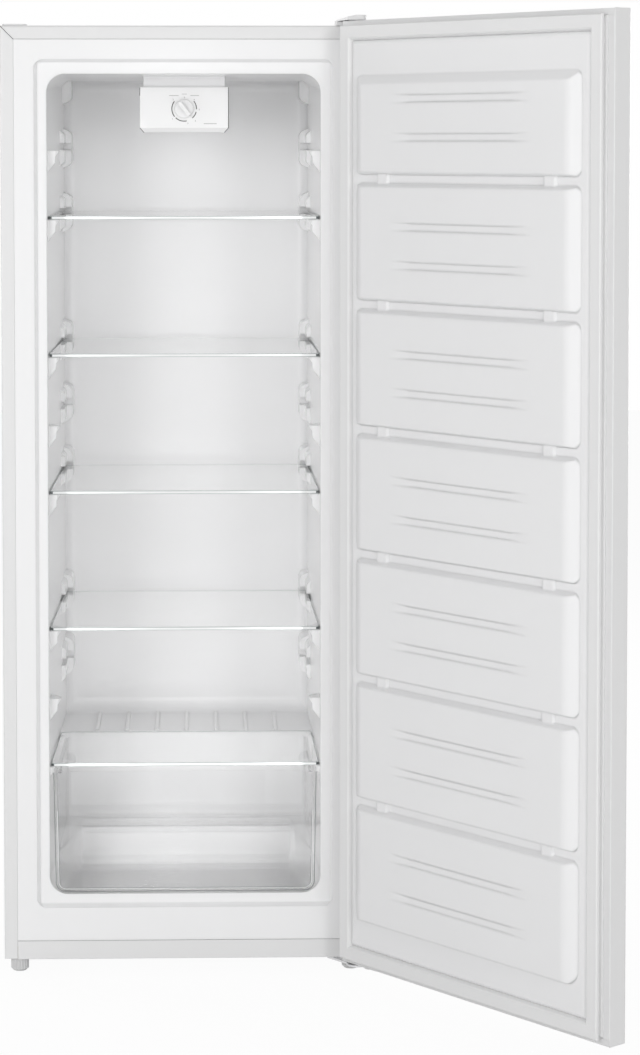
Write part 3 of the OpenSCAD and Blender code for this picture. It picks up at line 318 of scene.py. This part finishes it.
# Foam of the cabinet and the door: rigid polyurethane, foamed in place, pale yellow with small cells.
# It shows only where the machine bay and the door ends are open.
foam_group, g_in, g_out = shader_group(
    "foam_cells",
    [
        ("Cell Size", "Float", 700.0),
        ("Skin", "Color", rgb(0.78, 0.70, 0.45)),
        ("Cell", "Color", rgb(0.60, 0.50, 0.28)),
    ],
    [("Color", "Color"), ("Normal", "Vector")],
)
tree = foam_group
place = add(tree, "TexCoord").outputs["Object"]
cells = add(tree, "TexVoronoi", [(place, "Vector"), (g_in.outputs["Cell Size"], "Scale")])
mix_tones(tree, cells.outputs["Distance"], g_in, "Skin", "Cell", g_out)
bump = add(tree, "Bump", [(cells.outputs["Distance"], "Height")], Strength=0.5, Distance=0.0006)
tree.links.new(bump.outputs["Normal"], g_out.inputs["Normal"])
dress(finish("rigid_foam", foam_group, {"Roughness": 0.9}), "foam_insulation", "door_foam")

# Inner liner: one sheet of white polystyrene drawn over a mould, with coved corners, lugs and ribs.
# The sheet has a low shine and a slight cool tone, with slow cloudy patches for its uneven stretching.
plastic_group, g_in, g_out = shader_group(
    "moulded_plastic",
    [
        ("Grain", "Float", 1400.0),
        ("Grain Depth", "Float", 0.1),
        ("Thick", "Color", rgb(0.8)),
        ("Stretched", "Color", rgb(0.76, 0.76, 0.77)),
        ("Gloss", "Float", 0.35),
        ("Edge Radius", "Float", 0.002),
    ],
    [("Color", "Color"), ("Roughness", "Float"), ("Normal", "Vector")],
)
tree = plastic_group
place = add(tree, "TexCoord").outputs["Object"]
fine = add(tree, "TexNoise", [(place, "Vector"), (g_in.outputs["Grain"], "Scale")], Detail=3.0)
cloud = add(tree, "TexNoise", [(place, "Vector")], Scale=5.0, Detail=2.0)
mix_tones(tree, cloud.outputs["Fac"], g_in, "Thick", "Stretched", g_out)
shine = add(tree, "MapRange", [(fine.outputs["Fac"], "Value")], To_Min=-0.05, To_Max=0.05)
total = add(tree, "Math", [(shine.outputs["Result"], 0), (g_in.outputs["Gloss"], 1)], operation="ADD")
tree.links.new(total.outputs[0], g_out.inputs["Roughness"])
soft = add(tree, "Bevel", [(g_in.outputs["Edge Radius"], "Radius")], samples=6)
bump = add(
    tree, "Bump",
    [
        (fine.outputs["Fac"], "Height"),
        (soft.outputs["Normal"], "Normal"),
        (g_in.outputs["Grain Depth"], "Strength"),
    ],
    Distance=0.0003,
)
tree.links.new(bump.outputs["Normal"], g_out.inputs["Normal"])
liner = finish(
    "liner_sheet", plastic_group, {"Coat Weight": 0.6, "Coat Roughness": 0.15},
    Thick=rgb(0.9, 0.9, 0.903), Stretched=rgb(0.88, 0.88, 0.885), Gloss=0.4, Grain_Depth=0.02,
    Edge_Radius=0.003,
)
dress(liner, "inner_liner")

# Cooling circuit: copper tube on the side walls, aluminium plate and tube behind the liner, drier.
# Drawn tube with a dull skin; the condenser is taped to the walls before the foam goes in.
tube_group, g_in, g_out = shader_group(
    "drawn_tube",
    [
        ("Metal", "Color", rgb(0.7, 0.4, 0.25)),
        ("Tarnish", "Color", rgb(0.35, 0.18, 0.1)),
        ("Spots", "Float", 60.0),
    ],
    [("Color", "Color"), ("Roughness", "Float")],
)
tree = tube_group
place = add(tree, "TexCoord").outputs["Object"]
spots = add(tree, "TexNoise", [(place, "Vector"), (g_in.outputs["Spots"], "Scale")], Detail=4.0)
worn = add(tree, "MapRange", [(spots.outputs["Fac"], "Value")], From_Min=0.45, From_Max=0.7)
mix_tones(tree, worn.outputs["Result"], g_in, "Metal", "Tarnish", g_out)
rough = add(tree, "MapRange", [(worn.outputs["Result"], "Value")], To_Min=0.25, To_Max=0.55)
tree.links.new(rough.outputs["Result"], g_out.inputs["Roughness"])
copper = finish("copper_tube", tube_group, {"Metallic": 1.0})
aluminium = finish(
    "soft_aluminium", tube_group, {"Metallic": 1.0},
    Metal=rgb(0.80, 0.80, 0.81), Tarnish=rgb(0.62, 0.62, 0.64), Spots=200.0,
)
dress(copper, "condenser_coil", "discharge_tube", "suction_tube", "filter_drier")
dress(aluminium, "evaporator_coil", "evaporator_plate")

# Compressor, grommets, starter cover and cord inlet: black stove paint over drawn steel, rubber, nylon.
# The can stands on four rubber grommets on the tray. The thermostat's body is the same nylon.
stove_paint = finish(
    "black_stove_paint", enamel_group, {"Coat Weight": 0.3},
    Paint=rgb(0.012, 0.012, 0.013), Thin_Paint=rgb(0.03, 0.03, 0.032), Gloss=0.32, Grain=500.0,
    Fold_Radius=0.002,
)
dress(stove_paint, "compressor")
rubber = finish("black_rubber", plastic_group, Thick=rgb(0.02), Stretched=rgb(0.035), Gloss=0.7)
dress(rubber, "compressor_grommets")
black_nylon = finish(
    "black_nylon", plastic_group,
    Thick=rgb(0.025, 0.025, 0.027), Stretched=rgb(0.04, 0.04, 0.042), Gloss=0.5, Grain=2500.0,
    Grain_Depth=0.3, Edge_Radius=0.001,
)
dress(black_nylon, "starter_cover", "cord_inlet", "thermostat_body")

# Feet: ribbed nylon screw feet in front, plain moulded feet at the back, light grey.
# They are turned or pressed into the base by hand.
foot_grey = finish(
    "foot_nylon", plastic_group,
    Thick=rgb(0.70), Stretched=rgb(0.64), Gloss=0.5, Grain=2200.0, Grain_Depth=0.25, Edge_Radius=0.0006,
)
dress(foot_grey, "front_foot_left", "front_foot_right", "rear_feet")

# Thermostat: white moulded cover clipped to a cool white base under the ceiling.
# Fine grained mouldings; the knob is pushed on the shaft and the dial round it is printed.
moulded = finish(
    "white_moulding", plastic_group,
    Thick=rgb(0.78, 0.78, 0.782), Stretched=rgb(0.76, 0.76, 0.762), Gloss=0.42, Grain=2600.0,
    Grain_Depth=0.12, Edge_Radius=0.0012,
)
cool_moulding = finish(
    "cool_moulding", plastic_group,
    Thick=rgb(0.77, 0.77, 0.775), Stretched=rgb(0.74, 0.74, 0.75), Gloss=0.45, Grain=2600.0,
    Grain_Depth=0.12, Edge_Radius=0.0012,
)
dress(moulded, "thermostat_housing")
dress(cool_moulding, "housing_base")
dress(zinc_parts, "thermostat_shaft")
dress(moulded, "thermostat_knob")

# Dial: dark arcs, plain dark numbers and short grey bars, printed round the knob as a thin film on the
# cover's front. Fine dark lines of painted shade follow the cover's side edges and its cut lower corners.
cover_low, cover_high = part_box("thermostat_housing")
knob_low, knob_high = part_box("thermostat_knob")
dial_x = (knob_low.x + knob_high.x) / 2
dial_z = (knob_low.z + knob_high.z) / 2
FILM = 0.0001
RING_RADIUS = 0.0188
RING_WIDTH = 0.0014
NUMBER_SIZE = 0.0032
CORNER_CUT = (0.006, 0.007)
COVER_SHADE_LINE = 0.0005
FAINT_SHADE_LINE = 0.0004
SHADE_LINE_TOP_GAP = 0.0005
FAINT_TOP_GAP = 0.013
# Start and end of each arc in degrees; angle in degrees and radius in millimetres of each number
ARCS = ((142, 220), (226, 282), (-49, -14), (-2, 39))
NUMBER_PLACES = ((221, 23.5), (140, 22), (88, 17.2), (42, 20.5), (-3, 23), (-47, 25), (-76, 23.3))
# Left end, height, length and width of each bar in millimetres, from the dial's middle
BARS = ((-22.7, 20.2, 14.3, 0.9), (9.6, 20.2, 13.0, 0.9), (-3.6, 22.4, 7.6, 0.8), (29.8, -22.7, 19.7, 1.1))
dark_ink = finish("dark_ink", plastic_group, Thick=rgb(0.05), Stretched=rgb(0.08), Gloss=0.6, Grain=3000.0)
pale_ink = finish("pale_ink", plastic_group, Thick=rgb(0.36), Stretched=rgb(0.44), Gloss=0.6, Grain=3000.0)
# Painted shade for narrow gaps along edges and joints, laid on as thin dark lines.
painted_gap_shade = finish(
    "seam_shadow", plastic_group, Thick=rgb(0.07), Stretched=rgb(0.11), Gloss=0.8, Grain=900.0,
)


def printed(name, strips, material):
    """Thin film on the cover's front from strips, each a list of (x, z) in metres and a width."""
    mesh = bpy.data.meshes.new(name)
    bm = bmesh.new()
    for points, width in strips:
        rows = []
        for i, point in enumerate(points):
            along = (points[min(i + 1, len(points) - 1)] - points[max(i - 1, 0)]).normalized()
            across = Vector((-along.y, along.x)) * width / 2
            pair = (point + across, point - across)
            rows.append([bm.verts.new((q.x, cover_low.y - FILM, q.y)) for q in pair])
        for (a, b), (c, d) in zip(rows, rows[1:]):
            bm.faces.new((a, b, d, c))
    bm.to_mesh(mesh)
    bm.free()
    mesh.materials.append(material)
    film = bpy.data.objects.new(name, mesh)
    scene.collection.objects.link(film)
    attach(film, "cabinet")


def round_dial(angle, radius):
    """Point (x, z) at an angle in degrees and a radius from the dial's middle."""
    turn = math.radians(angle)
    return Vector((dial_x + radius * math.cos(turn), dial_z + radius * math.sin(turn)))


def arc(start, end, steps=16):
    """Points of the dial's ring between two angles in degrees."""
    return [round_dial(start + (end - start) * i / steps, RING_RADIUS) for i in range(steps + 1)]


def bar(left, height, length, width):
    """Strip for one printed bar, from millimetres."""
    ends = [Vector((dial_x + x / 1000, dial_z + height / 1000)) for x in (left, left + length)]
    return ends, width / 1000


def seam(name, points, radius, body="cabinet", material=None):
    """Fine line along a joint or a rim, in painted shade unless it is given a material of its own."""
    curve = bpy.data.curves.new(name, "CURVE")
    curve.dimensions = "3D"
    curve.bevel_depth = radius
    curve.bevel_resolution = 1
    line = curve.splines.new("POLY")
    line.points.add(len(points) - 1)
    for target, point in zip(line.points, points):
        target.co = (*point, 1)
    curve.materials.append(material or painted_gap_shade)
    obj = bpy.data.objects.new(name, curve)
    scene.collection.objects.link(obj)
    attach(obj, body)


printed("dial_ring", [(arc(*ends), RING_WIDTH) for ends in ARCS], dark_ink)
printed("dial_bars", [bar(*sizes) for sizes in BARS], pale_ink)
for number, (angle, radius) in enumerate(NUMBER_PLACES, 1):
    digit = bpy.data.curves.new("dial_number_%d" % number, "FONT")
    digit.body = str(number)
    digit.size = NUMBER_SIZE
    digit.extrude = FILM / 2
    digit.align_x = "CENTER"
    digit.align_y = "CENTER"
    digit.materials.append(dark_ink)
    obj = bpy.data.objects.new(digit.name, digit)
    middle = round_dial(angle, radius / 1000)
    obj.location = (middle.x, cover_low.y - FILM, middle.y)
    obj.rotation_euler = (math.radians(90), 0, 0)
    scene.collection.objects.link(obj)
    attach(obj, "cabinet")
# Thin lines of painted shade along the cover's side edges and its cut lower corners.
for side, edge, inward in (("left", cover_low.x, 1), ("right", cover_high.x, -1)):
    cut = [
        (edge, cover_low.y, cover_low.z + CORNER_CUT[1]),
        (edge + inward * CORNER_CUT[0], cover_low.y + CORNER_CUT[1], cover_low.z),
    ]
    top = (edge, cover_low.y, cover_high.z - SHADE_LINE_TOP_GAP)
    if side == "right":
        seam("cover_edge_shade_right", [top, *cut], COVER_SHADE_LINE)
    else:
        seam("cover_edge_shade_left", [top, (edge, cover_low.y, cover_high.z - FAINT_TOP_GAP)], FAINT_SHADE_LINE)
        seam("cover_corner_shade_left", cut, COVER_SHADE_LINE)

# Joint lines of the case front: mitres at both top corners, the gaps under the top return and above
# the rail. They are the shadow in the narrow gaps between sheet, liner and rail, drawn as thin dark beads.
RETURN_WIDTH = 0.020
MITRE_START = 0.0008
MITRE_SEAM = 0.0004
HAIR_SEAM = 0.0002
case_low, case_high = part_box("outer_case")
rail_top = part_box("front_rail")[1].z
for side, edge, inward in (("left", case_low.x, 1), ("right", case_high.x, -1)):
    line = [(edge + inward * d, case_low.y, case_high.z - d) for d in (MITRE_START, RETURN_WIDTH)]
    seam("mitre_line_" + side, line, MITRE_SEAM)
ends = (case_low.x + RETURN_WIDTH, case_high.x - RETURN_WIDTH)
seam("top_return_line", [(x, case_low.y, case_high.z - RETURN_WIDTH) for x in ends], HAIR_SEAM)
seam("rail_line", [(x, case_low.y, rail_top) for x in ends], HAIR_SEAM)

# Glass shelves and crisper cover: clear float glass, 5 mm thick, with ground and polished edges.
# The front edge is finely ground, and its white is partly a painted highlight; the side edges and rounded
# corners carry painted shade for the dark depth of the glass, darkest at the corners.
smear_group, g_in, g_out = shader_group(
    "glass_smears",
    [
        ("Clean", "Color", rgb(0.99, 0.992, 0.992)),
        ("Smeared", "Color", rgb(0.972, 0.976, 0.976)),
        ("Scale", "Float", 9.0),
    ],
    [("Color", "Color"), ("Roughness", "Float")],
)
tree = smear_group
place = add(tree, "TexCoord").outputs["Object"]
smear = add(
    tree, "TexNoise", [(place, "Vector"), (g_in.outputs["Scale"], "Scale")],
    Detail=4.0, Distortion=1.2,
)
mix_tones(tree, smear.outputs["Fac"], g_in, "Clean", "Smeared", g_out)
rough = add(tree, "MapRange", [(smear.outputs["Fac"], "Value")], To_Min=0.0, To_Max=0.03)
tree.links.new(rough.outputs["Result"], g_out.inputs["Roughness"])
glass_clear = finish(
    "float_glass", smear_group, {"Transmission Weight": 1.0, "IOR": 1.45}, light_through=0.97,
)
# Edge materials: the front edge's white is partly a painted highlight; the sides and corners are painted
# shade.
front_edge_highlight = finish(
    "ground_edge_highlight", plastic_group,
    Thick=rgb(0.88, 0.89, 0.89), Stretched=rgb(0.84, 0.85, 0.85), Gloss=0.3, Grain=3000.0,
    Grain_Depth=0.1, Edge_Radius=0.0004,
)
side_edge_shade = finish(
    "polished_edge_shade", plastic_group,
    Thick=rgb(0.36, 0.39, 0.39), Stretched=rgb(0.46, 0.50, 0.49), Gloss=0.15, Grain=300.0,
    Grain_Depth=0.02, Edge_Radius=0.0004,
)
corner_edge_shade = finish(
    "polished_corner_shade", plastic_group,
    Thick=rgb(0.10, 0.11, 0.11), Stretched=rgb(0.16, 0.18, 0.18), Gloss=0.12, Grain=300.0,
    Grain_Depth=0.02, Edge_Radius=0.0004,
)
PLATE_SOFT = 0.0009
FRONT_CORNER = 0.006
BACK_CORNER = 0.005
BACK_GAP = 0.0006
# Each side of a plate comes in by 6 mm over 440 mm of depth, as the liner's walls do
DRAFT_PER_M = 6 / 440
SLOT_FRONT, SLOT_SIDE, SLOT_CORNER = 1, 2, 3
STEEP = 0.5
STRAIGHT = 0.98
ARRIS_ANGLE = 50


def arc_corner(points, centre, radius, start, steps=6):
    """Adds a quarter arc, anticlockwise from the angle start."""
    for i in range(steps + 1):
        a = math.radians(start + 90 * i / steps)
        points.append((centre[0] + radius * math.cos(a), centre[1] + radius * math.sin(a)))


def glass_plate(name, body):
    """Pane in place of a CAD plate, with rounded corners, softened arrises and edges in painted highlight
    and shade.
    """
    low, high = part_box(name)
    middle = (low.x + high.x) / 2
    front = (high.x - low.x) / 2
    back = front - (high.y - low.y) * DRAFT_PER_M - BACK_GAP
    plan = []
    for x, y, radius, start in (
        (front, low.y, FRONT_CORNER, 270),
        (back, high.y, BACK_CORNER, 0),
        (-back, high.y, BACK_CORNER, 90),
        (-front, low.y, FRONT_CORNER, 180),
    ):
        side = 1 if x > 0 else -1
        inward = 1 if y == low.y else -1
        arc_corner(plan, (middle + x - side * radius, y + inward * radius), radius, start)
    mesh = bpy.data.meshes.new(name + "_plate")
    bm = bmesh.new()
    base = bm.faces.new([bm.verts.new((x, y, low.z)) for x, y in plan])
    top = bmesh.ops.extrude_face_region(bm, geom=[base])
    raised = [v for v in top["geom"] if isinstance(v, bmesh.types.BMVert)]
    bmesh.ops.translate(bm, verts=raised, vec=(0, 0, high.z - low.z))
    bmesh.ops.recalc_face_normals(bm, faces=bm.faces)
    # Edges facing the front take the painted highlight, the others painted shade, darkest on the corner
    # facets.
    for face in bm.faces:
        if abs(face.normal.z) > STEEP:
            continue
        if max(abs(face.normal.x), abs(face.normal.y)) < STRAIGHT:
            face.material_index = SLOT_CORNER
        elif face.normal.y < -STEEP:
            face.material_index = SLOT_FRONT
        else:
            face.material_index = SLOT_SIDE
    bm.to_mesh(mesh)
    bm.free()
    for material in (glass_clear, front_edge_highlight, side_edge_shade, corner_edge_shade):
        mesh.materials.append(material)
    plate = bpy.data.objects.new(name + "_plate", mesh)
    scene.collection.objects.link(plate)
    bevel = plate.modifiers.new("polished_arris", "BEVEL")
    bevel.width = PLATE_SOFT
    bevel.segments = 2
    bevel.material = SLOT_SIDE
    bevel.limit_method = "ANGLE"
    bevel.angle_limit = math.radians(ARRIS_ANGLE)
    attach(plate, body)
    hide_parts(name)


for number in (1, 2, 3, 4):
    glass_plate("glass_shelf_%d" % number, "glass_shelf_%d" % number)
glass_plate("crisper_cover", "crisper_cover")

# Crisper drawer: one clear polystyrene moulding, 2.5 mm thick, with a wide front plate.
# The wall is clear with faint flow marks and a slightly grey depth. Thin beads along the front plate's
# outline are painted shade and a painted highlight, dark outside and pale inside, for the look of its
# rounded rim.
clear_plastic = finish(
    "clear_polystyrene", smear_group, {"Transmission Weight": 1.0, "IOR": 1.3},
    light_through=1.0, seen_through=0.4,
    Clean=rgb(0.992, 0.993, 0.995), Smeared=rgb(0.98, 0.982, 0.985), Scale=14.0,
)
dress(clear_plastic, "crisper_drawer")
RIM_RADIUS = 0.016
RIM_LEAN = 0.003
RIM_STEPS = 8
# Painted shade and painted highlight for the rim lines on the clear front plate.
rim_painted_shade = finish(
    "rim_painted_shade", plastic_group,
    Thick=rgb(0.26, 0.27, 0.27), Stretched=rgb(0.36, 0.37, 0.37), Gloss=0.2, Grain=500.0,
)
rim_painted_highlight = finish(
    "rim_painted_highlight", plastic_group,
    Thick=rgb(0.92, 0.93, 0.93), Stretched=rgb(0.88, 0.89, 0.89), Gloss=0.2, Grain=500.0,
)
tub_low, tub_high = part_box("crisper_drawer")


def rim(name, inset, radius, drop, material):
    """Line along the front plate's outline, this far inside its edge and this far below its top."""
    reach = RIM_RADIUS - inset
    corner_x = tub_high.x - RIM_LEAN - RIM_RADIUS
    corner_z = tub_low.z + RIM_RADIUS
    half = []
    arc_corner(half, (corner_x, corner_z), reach, 270, RIM_STEPS)
    top = tub_high.z - drop
    lean = RIM_LEAN * (tub_high.z - top) / (tub_high.z - tub_low.z)
    half.append((tub_high.x - inset - lean, top))
    middle = (tub_low.x + tub_high.x) / 2
    outline = [(2 * middle - x, z) for x, z in reversed(half)] + half
    seam(name, [(x, tub_low.y, z) for x, z in outline], radius, "crisper_drawer", material)


# The outer and inner lines are painted shade; the middle line is a painted highlight.
for name, inset, radius, drop, material in (
    ("drawer_rim_outer_shade", 0.0009, 0.0008, 0.002, rim_painted_shade),
    ("drawer_rim_highlight", 0.0050, 0.0007, 0.060, rim_painted_highlight),
    ("drawer_rim_inner_shade", 0.0063, 0.0003, 0.060, rim_painted_shade),
):
    rim(name, inset, radius, drop, material)

# Hinges: zinc plates, pins and screws, a white cover over the upper hinge and a cap on the spare holes.
# The cover snaps over the plate; the pins carry and steady the door.
dress(zinc_parts, "top_hinge_bracket", "top_hinge_pin", "top_hinge_screws")
dress(zinc_parts, "bottom_hinge_bracket", "bottom_hinge_pin", "bottom_hinge_screws")
dress(moulded, "top_hinge_cover", "hinge_blanking_cap")

# Door: painted steel skin hemmed inwards, foam, drawn liner with seven panels, end caps and bushes.
# The gasket is soft white vinyl, pressed into the joint between the hem and the liner.
dress(enamel, "door_skin")
dress(moulded, "door_top_cap", "door_bottom_cap")
door_liner = finish(
    "door_liner_sheet", plastic_group, {"Specular IOR Level": 0.3},
    Thick=rgb(0.87, 0.87, 0.874), Stretched=rgb(0.85, 0.85, 0.856), Gloss=0.38, Grain_Depth=0.04,
    Edge_Radius=0.005,
)
dress(door_liner, "door_liner")
vinyl = finish(
    "gasket_vinyl", plastic_group,
    Thick=rgb(0.83), Stretched=rgb(0.80, 0.80, 0.802), Gloss=0.5, Grain=1800.0, Grain_Depth=0.15,
    Edge_Radius=0.0008,
)
dress(vinyl, "door_gasket")
acetal = finish(
    "acetal", plastic_group,
    Thick=rgb(0.62, 0.62, 0.63), Stretched=rgb(0.6, 0.6, 0.61), Gloss=0.3, Edge_Radius=0.0005,
)
dress(acetal, "door_bush_top", "door_bush_bottom")
